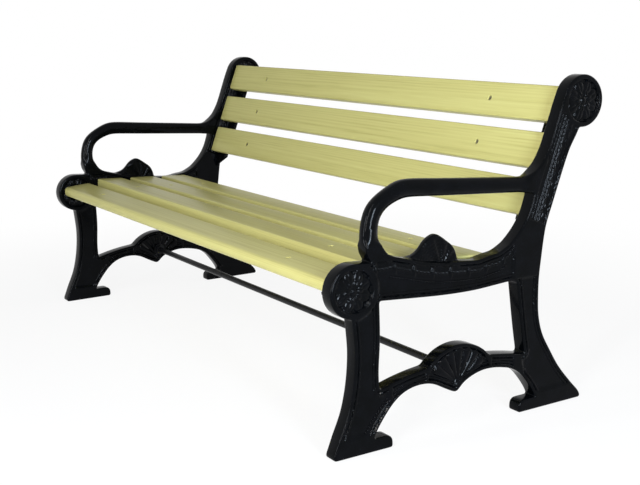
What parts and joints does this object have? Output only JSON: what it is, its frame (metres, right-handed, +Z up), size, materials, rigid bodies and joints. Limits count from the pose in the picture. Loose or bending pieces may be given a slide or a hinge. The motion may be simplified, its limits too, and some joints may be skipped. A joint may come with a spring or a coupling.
{
  "type": "park bench",
  "caption": "Park bench with scrolled cast iron end frames and arms, wooden slats for seat and back, and a tie rod between fan-shaped stretchers.",
  "frame": {"origin": "on the floor, at the middle of the bench's length and depth", "axes": "+X along the bench to the sitter's left hand end, -Y out of the front of the seat, +Z up"},
  "size_m": [1.8, 0.83, 0.8504],
  "materials": {
    "cast_frame": "gloss black paint on cast iron",
    "slat": "planed softwood under pale olive-yellow gloss stain",
    "slat_iron": "black painted flat bar",
    "tie_bar": "gloss black paint on round bar",
    "fastener": "zinc plated steel, dulled"
  },
  "bodies": {
    "root": {"end_frame_left": "cast_frame", "end_frame_right": "cast_frame", "seat_slat_front": "slat", "seat_slat_second": "slat", "seat_slat_third": "slat", "seat_slat_rear": "slat", "back_slat_bottom": "slat", "back_slat_middle": "slat", "back_slat_top": "slat", "seat_irons_left": "slat_iron", "seat_irons_right": "slat_iron", "back_irons_left": "slat_iron", "back_irons_right": "slat_iron", "tie_rod": "tie_bar", "tie_rod_nuts": "tie_bar", "tie_rod_washers": "tie_bar", "seat_bolts": "fastener", "seat_bolt_washers": "fastener", "seat_bolt_nuts": "fastener", "back_bolts": "fastener", "back_bolt_washers": "fastener", "back_bolt_nuts": "fastener", "seat_lug_screws": "fastener", "seat_lug_washers": "fastener", "back_lug_screws": "fastener", "back_lug_washers": "fastener"}
  },
  "joints": []
}
